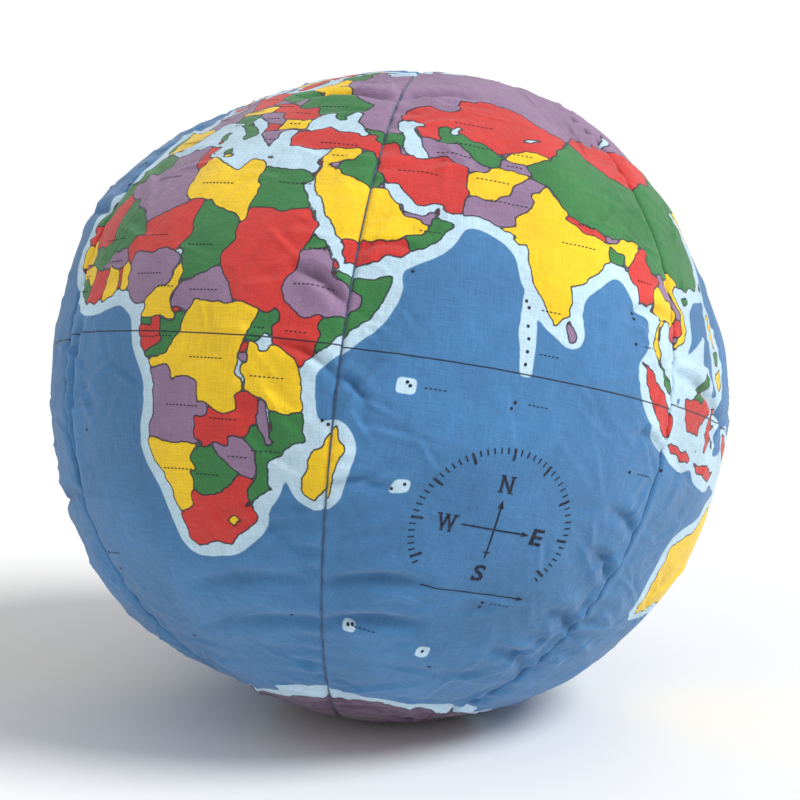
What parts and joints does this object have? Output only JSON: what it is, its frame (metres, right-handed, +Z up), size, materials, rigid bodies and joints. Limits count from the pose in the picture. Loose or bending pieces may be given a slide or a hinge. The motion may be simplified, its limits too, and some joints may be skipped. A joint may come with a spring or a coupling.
{
  "type": "soft stuffed globe",
  "caption": "Soft stuffed cotton ball printed as a world globe, sewn from pointed gores round a fibre fill, to squeeze, throw or stand on a desk.",
  "frame": {"origin": "on the floor, under the centre of the flattened patch that the ball rests on", "axes": "+Z up, -Y towards the side with the Indian Ocean and Arabia, +X to the right as seen from that side; the globe's polar axis leans 18.5 degrees from +Z"},
  "size_m": [0.305, 0.3036, 0.2953],
  "materials": {
    "printed_cotton": "matte woven cotton, screen printed",
    "sewing_thread": "matte cotton thread",
    "fibre_fill": "loose white polyester fibre"
  },
  "bodies": {
    "root": {"panel_africa": "printed_cotton", "panel_india": "printed_cotton", "panel_australia": "printed_cotton", "panel_pacific": "printed_cotton", "panel_north_america": "printed_cotton", "panel_south_america": "printed_cotton", "seam_thread_15w": "sewing_thread", "seam_thread_45e": "sewing_thread", "seam_thread_105e": "sewing_thread", "seam_thread_165e": "sewing_thread", "seam_thread_135w_south": "sewing_thread", "seam_thread_135w_north": "sewing_thread", "seam_thread_75w": "sewing_thread", "closing_thread": "sewing_thread", "fibre_fill": "fibre_fill"}
  },
  "joints": []
}
